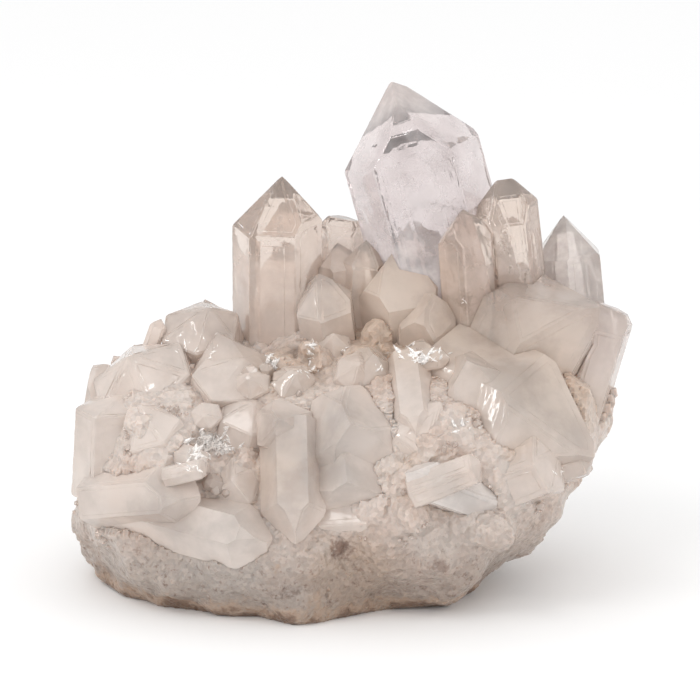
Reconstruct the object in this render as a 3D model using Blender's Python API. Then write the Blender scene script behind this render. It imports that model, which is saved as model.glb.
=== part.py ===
"""Quartz crystal cluster: six-sided points of quartz standing on a lump of massive white quartz.

Lengths are in millimetres until a mesh is finished, and in metres on the objects.
The cluster is seen from the front along +Y, with +X to the right and +Z up. It rests on a flat
cut at Z = 0. Each free crystal is an object of its own, crystals that have grown through each
other are joined in one object, and the massive quartz has a socket for every crystal root.
"""

import math
import random
from collections import namedtuple

import bmesh
import bpy
from mathutils import Matrix, Vector, noise

# ---- driving dimensions, millimetres and degrees ----
MM = 0.001
GAP = 0.3                     # clearance between a crystal and what it grows against
TIP_ANGLE = 38.2              # between a tip face of quartz and the crystal's long axis
SIDES = 6
ROCK_CENTRE = Vector((-4.0, 2.0, 26.0))
ROCK_DETAIL = 5               # icosphere subdivisions of the massive quartz
ROCK_KEPT = 0.34              # share of its triangles kept, which leaves broken flat facets
ROCK_BLEND = 14.0             # how sharply neighbouring lumps of rock meet
FLOOR_DEPTH = 40.0            # how much rough rock below Z = 0 the flat cut takes away
DRUSE_COUNT = 110             # places tried for small crystals on the massive quartz
DRUSE_CLEAR = 3.0             # room left between a small crystal and a large one
DRUSE_LEFT = -60.0            # small crystals keep inside the cluster's left and right ends
DRUSE_RIGHT = 52.0
DRUSE_SEED = 11

# ---- lumps of the massive quartz: centre and half sizes ----
Lump = namedtuple("Lump", "x y z rx ry rz")
LUMPS = (
    Lump(-17.0, 0.0, 12.0, 43.0, 37.0, 26.0),     # broad foot
    Lump(13.0, -6.0, 20.0, 28.5, 30.0, 22.0),     # foot on the right, which rises from the floor
    Lump(-40.0, -2.0, 28.0, 20.0, 29.0, 21.0),    # left bank
    Lump(-26.0, 4.0, 36.0, 20.0, 23.0, 15.0),     # shoulder under the left crystals
    Lump(-4.0, 4.0, 32.0, 31.0, 29.0, 23.0),      # middle mound
    Lump(18.0, -2.0, 30.0, 30.5, 30.0, 21.0),     # right flank
    Lump(35.0, 0.0, 37.0, 17.0, 21.0, 14.0),      # overhang on the right
    Lump(43.5, 12.0, 36.5, 12.5, 13.5, 14.0),     # knob that carries the far right crystals
)

# ---- crystals ----
# tip: point of the crystal; across: width over two side faces; length: from the tip to the root;
# lean: tilt to the right; toward: tilt to the front; roll: turn about its own axis;
# sides: distance of each side face, as a share of half the width, from the front face round to
# the right; tips: how far each tip face is cut below the point; blunt: how much is broken off.
Crystal = namedtuple("Crystal", "tip across length lean toward roll sides tips blunt",
                     defaults=(0.0, 0.0, 0.0, None, None, 0.0))

CLEAR_POINTS = ("main_point", "far_right_point", "low_right_point")

CLUSTER = {
    "main_point": (
        Crystal((8.0, 14.0, 108.2), 26.5, 56.0, -15.5, -3.0, 0.0,
                (0.86, 1.0, 1.0, 0.9, 1.0, 1.0), (-2.2, 0.0, -0.9, 0.6, 0.0, 0.0)),
    ),
    "left_tower": (
        Crystal((-15.6, 6.0, 88.3), 17.0, 48.0, 0.5, 9.0, -6.0,
                (1.0, 0.9, 0.9, 1.0, 1.12, 1.12), (0.0, -0.8, 0.0, -0.6, 0.0, -0.4)),
    ),
    "right_tower": (
        Crystal((32.2, 4.0, 90.0), 13.0, 46.0, -7.0, 6.0, 4.0,
                (1.08, 0.9, 0.9, 0.95, 1.1, 1.1), (1.2, 0.0, 0.0, 1.2, 0.0, 0.0)),
        Crystal((23.6, -1.0, 83.0), 11.5, 42.0, -4.0, 8.0, 24.0),
    ),
    "far_right_point": (
        Crystal((46.2, 13.0, 78.6), 13.4, 38.0, -6.0, -2.0, 28.0,
                (1.0, 1.0, 0.96, 1.0, 1.06, 1.08), (0.0, 0.5, 0.0, -0.5, 0.0, 0.0)),
        Crystal((41.6, 7.0, 66.5), 6.5, 22.0, -6.0, 2.0, 10.0),
    ),
    "shoulder_point": (
        Crystal((52.6, -8.0, 62.4), 26.0, 40.0, 60.0, 28.0, 8.0,
                (1.0, 0.95, 1.0, 1.0, 1.0, 0.95), (0.0, -1.2, 0.0, -0.8, 0.0, -1.2)),
    ),
    "right_edge_point": (
        Crystal((56.8, 4.0, 64.0), 11.5, 30.0, 16.0, -4.0, 12.0,
                (1.0, 0.95, 1.05, 1.0, 1.0, 1.05), (1.2, 0.0, 0.0, 1.2, 0.0, 0.0), 4.4),
    ),
    "front_right_point": (
        Crystal((51.3, -24.0, 33.4), 29.5, 40.0, 105.0, 34.0, 14.0,
                (1.0, 1.0, 0.9, 0.95, 1.0, 1.0), (0.0, -1.0, 0.6, -0.8, 0.0, -1.4)),
        Crystal((23.4, -23.0, 54.6), 16.0, 30.0, -14.0, 38.0, 12.0),
        Crystal((51.4, -17.0, 29.0), 7.0, 20.0, 96.0, 22.0, 12.0),
    ),
    "back_left_point": (
        Crystal((-2.6, 20.0, 79.6), 10.5, 34.0, 3.0, -8.0, 0.0, None, None, 3.2),
    ),
    "centre_points": (
        Crystal((8.8, 2.0, 73.9), 17.0, 40.0, -6.0, 13.0, 10.0),
        Crystal((-3.7, 8.0, 73.6), 9.0, 36.0, -4.0, 8.0, 20.0),
        Crystal((2.8, 7.0, 74.2), 9.5, 36.0, 3.0, 6.0, 4.0),
        Crystal((-7.8, -1.0, 68.4), 12.0, 34.0, -8.0, 16.0, 26.0),
        Crystal((17.0, -4.0, 65.0), 13.0, 34.0, 10.0, 20.0, 40.0),
        Crystal((3.8, -17.0, 54.6), 13.0, 32.0, 2.0, 38.0, 15.0),
        Crystal((16.6, -15.0, 55.6), 10.0, 30.0, 16.0, 42.0, 33.0),
        Crystal((13.2, -30.0, 38.4), 9.0, 22.0, 172.0, 52.0, 20.0),
    ),
    "front_points": (
        Crystal((-1.0, -36.0, 44.0), 21.0, 34.0, 0.0, 62.0, 20.0),
        Crystal((-1.5, -39.0, 32.5), 20.0, 30.0, 4.0, 78.0, 6.0),
        Crystal((-12.4, -37.5, 18.0), 12.6, 27.0, 178.0, 34.0, 8.0),
        Crystal((-16.0, -31.0, 44.0), 12.0, 28.0, -14.0, 58.0, 30.0),
    ),
    "low_right_point": (
        Crystal((10.4, -37.0, 34.0), 8.5, 22.0, -62.0, 26.0, 12.0),
    ),
    "lying_points": (
        Crystal((-16.4, -38.0, 18.4), 12.0, 36.0, 97.0, 26.0, 6.0, None, None, 1.5),
        Crystal((-31.5, -36.5, 29.0), 12.5, 29.0, 74.0, 34.0, 20.0),
        Crystal((-30.6, -35.5, 34.8), 6.0, 18.0, 80.0, 54.0, 0.0, None, None, 1.0),
    ),
    "left_bank_points": (
        Crystal((-29.0, -10.0, 57.5), 17.5, 36.0, -10.0, 26.0, 12.0),
        Crystal((-32.8, 6.0, 61.2), 10.0, 34.0, -5.0, 5.0, 24.0),
        Crystal((-38.9, 1.0, 57.4), 11.0, 32.0, -18.0, 6.0, 6.0),
        Crystal((-40.5, -12.0, 50.5), 14.5, 32.0, -22.0, 22.0, 18.0),
    ),
    "left_edge_points": (
        Crystal((-62.0, -14.0, 33.6), 17.0, 34.0, -84.0, 16.0, 10.0, None, None, 3.4),
        Crystal((-57.0, -4.0, 49.4), 12.0, 36.0, -30.0, 6.0, 20.0, None, None, 1.5),
        Crystal((-48.0, 0.0, 52.2), 7.0, 28.0, -34.0, 0.0, 4.0),
        Crystal((-41.8, -1.0, 58.3), 3.2, 16.0, 20.0, 0.0, 0.0),
        Crystal((-57.0, 17.0, 31.0), 13.0, 36.0, -70.0, -28.0, 24.0),
    ),
    "back_left_tower": (
        Crystal((-15.0, 29.0, 72.0), 14.0, 46.0, -6.0, -20.0, 10.0),
        Crystal((-34.0, 27.0, 51.0), 12.0, 36.0, -28.0, -28.0, 22.0),
    ),
    "back_middle_tower": (
        Crystal((14.0, 35.0, 74.0), 16.0, 50.0, 2.0, -24.0, 14.0),
    ),
    "back_right_tower": (
        Crystal((37.0, 29.0, 66.0), 12.5, 44.0, 14.0, -22.0, 6.0),
        Crystal((49.0, 24.0, 40.0), 11.0, 34.0, 55.0, -28.0, 12.0),
    ),
    "back_points": (
        Crystal((1.0, 43.0, 52.0), 14.0, 38.0, -4.0, -48.0, 8.0),
        Crystal((27.0, 42.0, 45.0), 13.0, 40.0, 22.0, -48.0, 20.0),
        Crystal((8.0, 43.0, 30.0), 13.0, 36.0, 4.0, -76.0, 16.0),
    ),
    "back_left_points": (
        Crystal((-22.0, 41.0, 40.0), 14.0, 40.0, -20.0, -56.0, 4.0),
        Crystal((-42.0, 28.0, 32.0), 12.0, 36.0, -54.0, -38.0, 10.0),
    ),
}


def empty_scene():
    """Remove every object, mesh and collection that is already in the file."""
    for thing in list(bpy.data.objects):
        bpy.data.objects.remove(thing, do_unlink=True)
    for mesh in list(bpy.data.meshes):
        bpy.data.meshes.remove(mesh)
    for group in list(bpy.data.collections):
        bpy.data.collections.remove(group)


def new_collection(name):
    group = bpy.data.collections.new(name)
    bpy.context.scene.collection.children.link(group)
    return group


def material(name, colour, roughness, transmission):
    """A Principled material: colour of the stone, its polish, and how much light passes it."""
    mat = bpy.data.materials.new(name)
    mat.use_nodes = True
    shader = mat.node_tree.nodes["Principled BSDF"]
    shader.inputs["Base Color"].default_value = (*colour, 1.0)
    shader.inputs["Roughness"].default_value = roughness
    shader.inputs["Metallic"].default_value = 0.0
    shader.inputs["IOR"].default_value = 1.544
    shader.inputs["Transmission Weight"].default_value = transmission
    mat.diffuse_color = (*colour, 1.0)
    return mat


def axis_of(crystal):
    """The direction a crystal points in."""
    lean = math.radians(crystal.lean)
    toward = math.radians(crystal.toward)
    return Vector((math.sin(lean) * math.cos(toward), -math.sin(toward),
                   math.cos(lean) * math.cos(toward)))


def object_from(bm, name, group, mat=None):
    """Turn a mesh drawn in millimetres into an object in metres."""
    bmesh.ops.scale(bm, vec=(MM, MM, MM), verts=bm.verts[:])
    bmesh.ops.recalc_face_normals(bm, faces=bm.faces[:])
    mesh = bpy.data.meshes.new(name)
    bm.to_mesh(mesh)
    bm.free()
    thing = bpy.data.objects.new(name, mesh)
    if mat:
        mesh.materials.append(mat)
    group.objects.link(thing)
    return thing


def hide_cutter(thing):
    thing.hide_render = True
    thing.display_type = 'WIRE'


# ---- crystals ----

def slice_off(bm, point, normal):
    """Cut away what lies beyond a plane and close the cut with one flat face."""
    everything = bm.verts[:] + bm.edges[:] + bm.faces[:]
    found = bmesh.ops.bisect_plane(bm, geom=everything, dist=1e-4, plane_co=point,
                                   plane_no=normal, clear_outer=True)
    rim = [part for part in found["geom_cut"] if isinstance(part, bmesh.types.BMEdge)]
    if rim:
        bmesh.ops.edgenet_fill(bm, edges=rim)


def habit(crystal):
    """The distances of the six side faces and six tip faces, given or drawn from a seed."""
    rng = random.Random(f"{crystal.tip} {crystal.across}")
    half = crystal.across / 2.0
    sides = crystal.sides or [rng.uniform(0.86, 1.1) for _ in range(SIDES)]
    # Three tip faces are large and three are small: every other one lies further out.
    tips = crystal.tips or [(-rng.uniform(0.04, 0.22) if face % 2 else rng.uniform(0.0, 0.08))
                            * half for face in range(SIDES)]
    return [share * half for share in sides], tips


def axis_matrix(crystal):
    """Place a crystal drawn with its point at the origin and its axis along +Z."""
    turn = Vector((0.0, 0.0, 1.0)).rotation_difference(axis_of(crystal)).to_matrix().to_4x4()
    roll = Matrix.Rotation(math.radians(crystal.roll), 4, 'Z')
    return Matrix.Translation(crystal.tip) @ turn @ roll


def crystal_mesh(crystal, grow=0.0):
    """A six-sided bar cut by six side faces and six tip faces, all moved out by grow."""
    sides, tips = habit(crystal)
    length = crystal.length + grow
    top = crystal.across
    bm = bmesh.new()
    bmesh.ops.create_cone(bm, cap_ends=True, cap_tris=False, segments=SIDES,
                          radius1=crystal.across * 1.5, radius2=crystal.across * 1.5,
                          depth=length + top,
                          matrix=Matrix.Translation((0.0, 0.0, (top - length) / 2.0)))
    slope = math.radians(TIP_ANGLE)
    for face in range(SIDES):
        around = math.radians(360.0 / SIDES * face) - math.pi / 2.0
        flat = Vector((math.cos(around), math.sin(around), 0.0))
        slice_off(bm, flat * (sides[face] + grow), flat)
        steep = flat * math.cos(slope) + Vector((0.0, 0.0, math.sin(slope)))
        slice_off(bm, steep * (grow - tips[face]), steep)
    if crystal.blunt:
        slice_off(bm, Vector((0.0, 0.0, grow - crystal.blunt)), Vector((0.12, -0.08, 1.0)))
    bmesh.ops.transform(bm, matrix=axis_matrix(crystal), verts=bm.verts[:])
    return bm


def add_boolean(thing, operation, group):
    change = thing.modifiers.new(operation.title(), 'BOOLEAN')
    change.operation = operation
    change.solver = 'EXACT'
    change.operand_type = 'COLLECTION'
    change.collection = group


def freeze(thing):
    """Replace an object's modifiers by their result, without the chips that were cut loose."""
    bpy.context.view_layer.update()
    deps = bpy.context.evaluated_depsgraph_get()
    mesh = bpy.data.meshes.new_from_object(thing.evaluated_get(deps))
    thing.modifiers.clear()
    thing.data = mesh
    bm = bmesh.new()
    bm.from_mesh(mesh)
    pieces = split_bodies(bm)
    pieces.sort(key=len)
    loose = [vert for piece in pieces[:-1] for vert in piece]
    bmesh.ops.delete(bm, geom=loose, context='VERTS')
    bmesh.ops.remove_doubles(bm, verts=bm.verts[:], dist=2e-6)
    bmesh.ops.dissolve_degenerate(bm, edges=bm.edges[:], dist=2e-6)
    bm.to_mesh(mesh)
    bm.free()
    print(thing.name, "bodies", len(pieces), "triangles", 
          sum(len(face.vertices) - 2 for face in mesh.polygons))


def split_bodies(bm):
    """The vertices of each separate body in a mesh."""
    waiting = set(bm.verts)
    bodies = []
    while waiting:
        front = [waiting.pop()]
        body = []
        while front:
            vert = front.pop()
            body.append(vert)
            for edge in vert.link_edges:
                other = edge.other_vert(vert)
                if other in waiting:
                    waiting.remove(other)
                    front.append(other)
        bodies.append(body)
    return bodies


# ---- massive quartz ----

def reach(direction):
    """How far the rock goes from its centre in one direction, over all the lumps."""
    total = 0.0
    for lump in LUMPS:
        radii = Vector((lump.rx, lump.ry, lump.rz))
        offset = ROCK_CENTRE - Vector((lump.x, lump.y, lump.z))
        start = Vector(offset[i] / radii[i] for i in range(3))
        step = Vector(direction[i] / radii[i] for i in range(3))
        a = step.dot(step)
        b = start.dot(step)
        c = start.dot(start) - 1.0
        inside = b * b - a * c
        if inside <= 0.0:
            continue
        far = (-b + math.sqrt(inside)) / a
        if far > 0.0:
            total += far ** ROCK_BLEND
    return total ** (1.0 / ROCK_BLEND)


def ledges(point):
    """Height of the broken lumps and ledges at a point of the rock's surface."""
    broad = noise.noise(point / 17.0) * 3.4
    block = noise.voronoi(point / 11.0)[0][0] * 4.2 - 1.6
    small = noise.noise(point / 4.5) * 1.3
    return broad - block + small


def rock_mesh():
    bm = bmesh.new()
    bmesh.ops.create_icosphere(bm, subdivisions=ROCK_DETAIL, radius=1.0)
    for vert in bm.verts:
        direction = vert.co.normalized()
        surface = ROCK_CENTRE + direction * reach(direction)
        vert.co = surface + direction * ledges(surface)
    return bm


def crowded(point, margin):
    """True where a point of the rock is inside a large crystal or close to its side."""
    for crystals in CLUSTER.values():
        for crystal in crystals:
            tip = Vector(crystal.tip)
            down = -axis_of(crystal)
            along = min(max((point - tip).dot(down), 0.0), crystal.length)
            if (point - tip - down * along).length < crystal.across * 0.5 + margin:
                return True
    return False


def druse():
    """Small crystals spread evenly over the rock by the golden angle, each tilted a little."""
    rng = random.Random(DRUSE_SEED)
    golden = math.pi * (3.0 - math.sqrt(5.0))
    for number in range(DRUSE_COUNT):
        height = 1.0 - 1.15 * (number + 0.5) / DRUSE_COUNT
        ring = math.sqrt(1.0 - height * height)
        turn = number * golden
        direction = Vector((ring * math.cos(turn), ring * math.sin(turn), height))
        surface = ROCK_CENTRE + direction * reach(direction)
        surface += direction * ledges(surface)
        if crowded(surface, DRUSE_CLEAR):
            continue
        tilt = Vector([rng.uniform(-0.5, 0.5) for _ in range(3)])
        axis = (direction + tilt).normalized()
        across = rng.uniform(4.0, 8.0)
        tip = surface + axis * across * rng.uniform(0.7, 1.1)
        if not DRUSE_LEFT < tip.x < DRUSE_RIGHT:
            continue
        yield Crystal(tuple(tip), across, across * 2.4,
                      math.degrees(math.atan2(axis.x, axis.z)), -math.degrees(math.asin(axis.y)),
                      rng.uniform(0.0, 60.0))


def build_crystals(model, clear, milky):
    """Each named group of crystals, joined where they overlap and cut where they meet others."""
    sockets = new_collection("socket cutters")
    for name, crystals in CLUSTER.items():
        mat = clear if name in CLEAR_POINTS else milky
        thing = object_from(crystal_mesh(crystals[0]), name, model, mat)
        if len(crystals) > 1:
            partners = new_collection(name + " partners")
            for number, crystal in enumerate(crystals[1:]):
                partner = object_from(crystal_mesh(crystal), f"{name} partner {number}", partners)
                hide_cutter(partner)
            add_boolean(thing, 'UNION', partners)
        if sockets.objects:
            add_boolean(thing, 'DIFFERENCE', sockets)
        freeze(thing)
        for number, crystal in enumerate(crystals):
            cutter = object_from(crystal_mesh(crystal, GAP), f"{name} socket {number}", sockets)
            hide_cutter(cutter)
    return sockets


def build_matrix(model, sockets, mat):
    """The massive quartz with its small crystals, its flat cut and a socket for every root."""
    rock = object_from(rock_mesh(), "matrix", model, mat)
    fewer = rock.modifiers.new("Broken facets", 'DECIMATE')
    fewer.ratio = ROCK_KEPT
    small = new_collection("small crystals")
    for number, crystal in enumerate(druse()):
        hide_cutter(object_from(crystal_mesh(crystal), f"small crystal {number}", small))
    add_boolean(rock, 'UNION', small)
    below = new_collection("flat cut")
    bm = bmesh.new()
    bmesh.ops.create_cube(bm, size=1.0)
    bmesh.ops.scale(bm, vec=(200.0, 200.0, FLOOR_DEPTH), verts=bm.verts[:])
    bmesh.ops.translate(bm, vec=(0.0, 0.0, -FLOOR_DEPTH / 2.0), verts=bm.verts[:])
    hide_cutter(object_from(bm, "floor block", below))
    add_boolean(rock, 'DIFFERENCE', below)
    add_boolean(rock, 'DIFFERENCE', sockets)
    freeze(rock)
    return rock


def centre_on_origin(model):
    """Move every piece so that the origin is on the floor under the middle of the cluster."""
    places = [vert.co for thing in model.objects for vert in thing.data.vertices]
    middle = [(min(p[i] for p in places) + max(p[i] for p in places)) / 2.0 for i in range(2)]
    for thing in model.objects:
        thing.location = (-middle[0], -middle[1], 0.0)
    print("moved by", [round(-value / MM, 3) for value in middle], "mm")


def main():
    empty_scene()
    model = new_collection("Quartz crystal cluster")
    clear = material("clear quartz", (0.72, 0.68, 0.66), 0.06, 0.9)
    milky = material("milky quartz", (0.62, 0.53, 0.47), 0.15, 0.3)
    massive = material("massive quartz", (0.56, 0.47, 0.40), 0.55, 0.0)
    sockets = build_crystals(model, clear, milky)
    build_matrix(model, sockets, massive)
    centre_on_origin(model)


main()
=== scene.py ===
# %% [markdown]
# # Quartz crystal cluster
#
# This lesson dresses a cluster of quartz crystals, about 12 cm wide, that stands on a lump of
# massive quartz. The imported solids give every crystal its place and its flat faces. Here each
# one gets crisp edges and growth steps, the lump gets its sugary grain, a crust of small
# crystals grows between the large ones, and the stone gets its milky, see-through look.

# %% Load the solids
import math
import random

import bmesh
import bpy
from mathutils import Matrix, Vector, noise
from mathutils.bvhtree import BVHTree


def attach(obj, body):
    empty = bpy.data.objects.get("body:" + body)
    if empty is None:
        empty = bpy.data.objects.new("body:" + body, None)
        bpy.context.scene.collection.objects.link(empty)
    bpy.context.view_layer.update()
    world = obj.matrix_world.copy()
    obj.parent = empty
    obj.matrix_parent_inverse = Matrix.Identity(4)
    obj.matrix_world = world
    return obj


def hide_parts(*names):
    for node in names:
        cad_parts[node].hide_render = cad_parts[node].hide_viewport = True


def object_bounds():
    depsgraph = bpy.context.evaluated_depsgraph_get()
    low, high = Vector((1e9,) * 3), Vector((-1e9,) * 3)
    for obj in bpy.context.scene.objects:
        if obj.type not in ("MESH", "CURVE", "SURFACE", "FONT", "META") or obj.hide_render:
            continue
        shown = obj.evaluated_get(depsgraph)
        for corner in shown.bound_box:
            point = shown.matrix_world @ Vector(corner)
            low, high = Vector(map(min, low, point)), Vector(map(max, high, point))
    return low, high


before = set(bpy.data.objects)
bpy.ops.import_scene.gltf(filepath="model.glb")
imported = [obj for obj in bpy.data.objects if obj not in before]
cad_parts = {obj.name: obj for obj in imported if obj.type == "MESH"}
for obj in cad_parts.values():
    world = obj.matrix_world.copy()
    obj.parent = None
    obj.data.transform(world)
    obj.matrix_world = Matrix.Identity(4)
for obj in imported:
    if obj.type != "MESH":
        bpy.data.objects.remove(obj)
cad_low, cad_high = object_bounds()

MM = 0.001
print("solids:", len(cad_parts), "size in mm:",
      [round(side / MM, 1) for side in cad_high - cad_low])

# %% [markdown]
# ## The view
#
# The camera comes first, because some small things are best placed by where they show: a ray
# from the camera through a point of the view finds the place on the stone behind it, so each
# one still sits on what carries it, seen from any side.

# %% Camera
CAMERA_AIM = Vector((-0.6, -1.07, 51.0)) * MM
CAMERA_DISTANCE = 0.7
CAMERA_ELEVATION = math.radians(14.0)
FRAME_WIDTH = 152.2 * MM       # width of what the view shows at the aim
FRAME_PIXELS = 700
SENSOR = 36.0

camera_data = bpy.data.cameras.new("camera")
camera_data.sensor_width = SENSOR
camera_data.lens = SENSOR * CAMERA_DISTANCE / FRAME_WIDTH
camera = bpy.data.objects.new("camera", camera_data)
back = Vector((0.0, -math.cos(CAMERA_ELEVATION), math.sin(CAMERA_ELEVATION)))
view_up = Vector((0.0, math.sin(CAMERA_ELEVATION), math.cos(CAMERA_ELEVATION)))
view_right = Vector((1.0, 0.0, 0.0))
camera.location = CAMERA_AIM + back * CAMERA_DISTANCE
camera.rotation_euler = (-back).to_track_quat('-Z', 'Y').to_euler()
bpy.context.scene.collection.objects.link(camera)
bpy.context.scene.camera = camera
print("lens", round(camera_data.lens, 1), "mm")

# %% Find the stone behind a point of the view


def tree_of(*nodes):
    bm = bmesh.new()
    for node in nodes:
        bm.from_mesh(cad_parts[node].data)
    tree = BVHTree.FromBMesh(bm)
    bm.free()
    return tree


LARGE_NODES = sorted(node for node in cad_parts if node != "matrix")
lump_tree = tree_of("matrix")
large_tree = tree_of(*LARGE_NODES)
stone_tree = tree_of(*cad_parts)


def seen_at(across, down, tree=stone_tree):
    """The place and normal of the stone behind a pixel of the view."""
    pixel = FRAME_WIDTH / FRAME_PIXELS
    aside = view_right * (across - FRAME_PIXELS / 2) * pixel
    above = view_up * (FRAME_PIXELS / 2 - down) * pixel
    ray = CAMERA_AIM + aside + above - camera.location
    place, normal, _, _ = tree.ray_cast(camera.location, ray)
    return place, normal


print("stone in the middle of the view, mm:", [round(c / MM, 1) for c in seen_at(350, 350)[0]])

# %% [markdown]
# ## Colours
#
# Stone colours are picked on a screen, as sRGB hex values, and the renderer needs linear
# ones. One function does the change, so each colour can be read and compared in any paint
# program.

# %% Colours of the stone


def linear(hex_colour):
    """An sRGB hex colour as the linear red, green, blue and alpha that nodes take."""
    parts = [int(hex_colour[i:i + 2], 16) / 255.0 for i in (1, 3, 5)]
    return (*[p / 12.92 if p <= 0.04045 else ((p + 0.055) / 1.055) ** 2.4 for p in parts], 1.0)


MILK = linear("#E3D6CD")
ROSE_BEIGE = linear("#DCC6B8")
HONEY = linear("#D3B497")
COOL_GREY = linear("#DDD5CF")
LILAC = linear("#DDD3D6")
CLEAN_WHITE = linear("#F7F1EC")
TAN_STAIN = linear("#B39A86")
RUST = linear("#755C4C")
OCHRE = linear("#8E5C38")
print("milk in linear light:", [round(c, 3) for c in MILK])

# %% [markdown]
# ## A helper for nodes
#
# A procedural finish is a small graph of nodes. Writing each node out takes many lines, so one
# function adds a node of any kind, sets what it is told and joins its inputs.

# %% One function that adds a node


def add(tree, kind, settings=None, **inputs):
    """Add a node of a kind, set its properties, and give each named input a value or a link."""
    made = tree.nodes.new(kind)
    for key, value in (settings or {}).items():
        setattr(made, key, value)
    for key, value in inputs.items():
        if key[0] == "i" and key[1:].isdigit():
            socket = made.inputs[int(key[1:])]
        else:
            socket = made.inputs[key.replace("_", " ")]
        if isinstance(value, bpy.types.NodeSocket):
            tree.links.new(value, socket)
        else:
            socket.default_value = value
    return made


def new_material(name):
    """A material with only its output and its Principled shader, and the tree they are in."""
    material = bpy.data.materials.new(name)
    material.use_nodes = True
    tree = material.node_tree
    return material, tree, tree.nodes["Principled BSDF"]


def per_mm(size):
    """The noise scale, per metre of Object coordinates, that gives features of a size in mm."""
    return 1.0 / (size * MM)


QUARTZ_IOR = 1.544
print("quartz bends light with an index of", QUARTZ_IOR)

# %% [markdown]
# ## The tint of the stone
#
# Quartz has no colour of its own. What tints it is inside: bubbles make it milky, traces of iron
# make it rosy or honey coloured in the heart of the cluster, and clearer zones look cool and
# grey. All the stone's materials share one tint, so that a crystal and the lump it grew from
# match where they meet. Slow noise gives the drift from milk to rose, and a few soft patches
# give the zones.

# %% One tint for all the stone
DRIFT_MM = 15.0
RAGGED_MM = 9.0         # how far noise shifts the edge of a zone
# centre in mm, radius in mm, colour, strength
TINT_ZONES = {
    "honey_heart": ((12.0, -6.0, 62.0), 26.0, HONEY, 0.85),
    "honey_hollow": ((-14.0, -12.0, 50.0), 13.0, HONEY, 0.6),
    "honey_foot_of_points": ((14.0, -26.0, 30.0), 14.0, HONEY, 0.45),
    "grey_left_block": ((-52.0, -14.0, 28.0), 18.0, COOL_GREY, 0.9),
    "grey_front_block": ((0.0, -34.0, 34.0), 15.0, CLEAN_WHITE, 0.5),
    "grey_front_foot": ((-28.0, -34.0, 16.0), 16.0, COOL_GREY, 0.7),
    "rosy_right_flank": ((38.0, -10.0, 46.0), 26.0, HONEY, 0.75),
    "lilac_right_edge": ((56.0, 0.0, 52.0), 14.0, LILAC, 0.6),
    "honey_left_of_front": ((-14.0, -30.0, 31.0), 11.0, HONEY, 0.6),
    "honey_foot": ((0.0, -36.0, 10.0), 14.0, HONEY, 0.6),
}


# across and down in the view in pixels, radius in mm, colour, strength
STAIN_SPOTS = {
    "rusty_nick": (465, 302, 3.2, RUST, 0.95),
    "rusty_slot": (300, 354, 5.0, RUST, 0.5),
    "foot_spot": (338, 551, 3.0, OCHRE, 0.8),
    "foot_spot_right": (440, 568, 2.6, OCHRE, 0.5),
    "foot_spot_left": (288, 590, 2.0, OCHRE, 0.5),
    "pink_glow_right": (519, 452, 5.0, HONEY, 0.5),
    "white_sill": (186, 466, 6.0, CLEAN_WHITE, 1.0),
    "white_lying_end": (228, 528, 9.0, CLEAN_WHITE, 0.8),
    "white_bar": (445, 474, 9.0, CLEAN_WHITE, 0.4),
    "left_tower_tip": (277, 205, 20.0, TAN_STAIN, 0.55),
    "right_tower_tip": (508, 205, 16.0, TAN_STAIN, 0.45),
}


def zones():
    """The middle in metres, radius in mm, colour and strength of every zone and spot."""
    found = [(Vector(centre) * MM, radius, colour, strength)
             for centre, radius, colour, strength in TINT_ZONES.values()]
    for across, down, radius, colour, strength in STAIN_SPOTS.values():
        found.append((seen_at(across, down)[0], radius, colour, strength))
    return found


def stone_tint(tree, place):
    """The shared tint as a colour socket: milk and rose by slow noise, then the zones."""
    drift = add(tree, "ShaderNodeTexNoise", Vector=place, Scale=per_mm(DRIFT_MM), Detail=4.0,
                Roughness=0.6).outputs["Fac"]
    share = add(tree, "ShaderNodeMapRange", {"interpolation_type": 'SMOOTHSTEP'}, Value=drift,
                From_Min=0.36, From_Max=0.66).outputs["Result"]
    tint = add(tree, "ShaderNodeMix", {"data_type": 'RGBA'}, i0=share, i6=MILK,
               i7=ROSE_BEIGE).outputs[2]
    ragged = add(tree, "ShaderNodeTexNoise", Vector=place, Scale=per_mm(2.2), Detail=4.0,
                 Roughness=0.7).outputs["Color"]
    warped = add(tree, "ShaderNodeVectorMath", {"operation": 'MULTIPLY_ADD'}, i0=ragged,
                 i1=(RAGGED_MM * MM,) * 3, i2=place).outputs["Vector"]
    for middle, radius, colour, strength in zones():
        shifted = middle + Vector((0.5, 0.5, 0.5)) * RAGGED_MM * MM
        away = add(tree, "ShaderNodeVectorMath", {"operation": 'DISTANCE'}, i0=warped,
                   i1=tuple(shifted)).outputs["Value"]
        zone = add(tree, "ShaderNodeMapRange", {"interpolation_type": 'SMOOTHSTEP'}, Value=away,
                   From_Min=0.35 * radius * MM, From_Max=radius * MM, To_Min=strength,
                   To_Max=0.0).outputs["Result"]
        tint = add(tree, "ShaderNodeMix", {"data_type": 'RGBA'}, i0=zone, i6=tint,
                   i7=colour).outputs[2]
    return tint


print("tint zones:", ", ".join(TINT_ZONES))

# %% [markdown]
# ## Milky quartz
#
# Most of the crystals are milky quartz. It grew from hot water that left countless tiny bubbles
# in it, so light goes in, wanders between its faces and comes out again. A face that passes half
# of the light and scatters the rest does the same: the eye looks a little way into the crystal,
# and its inside glows with the light that has come in. It is milkiest at the root, where it grew
# fast, and clears towards the tip.

# %% Milky quartz
RIPPLE_MM = 1.6         # size of the ripples on a growth face
VEIL_MM = 9.0           # size of a clouded zone
PALE_GAMMA = 0.26       # light that goes in is tinted many times, so the tint starts paler
ROSE_CAST = linear("#FCF2EB")


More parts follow.
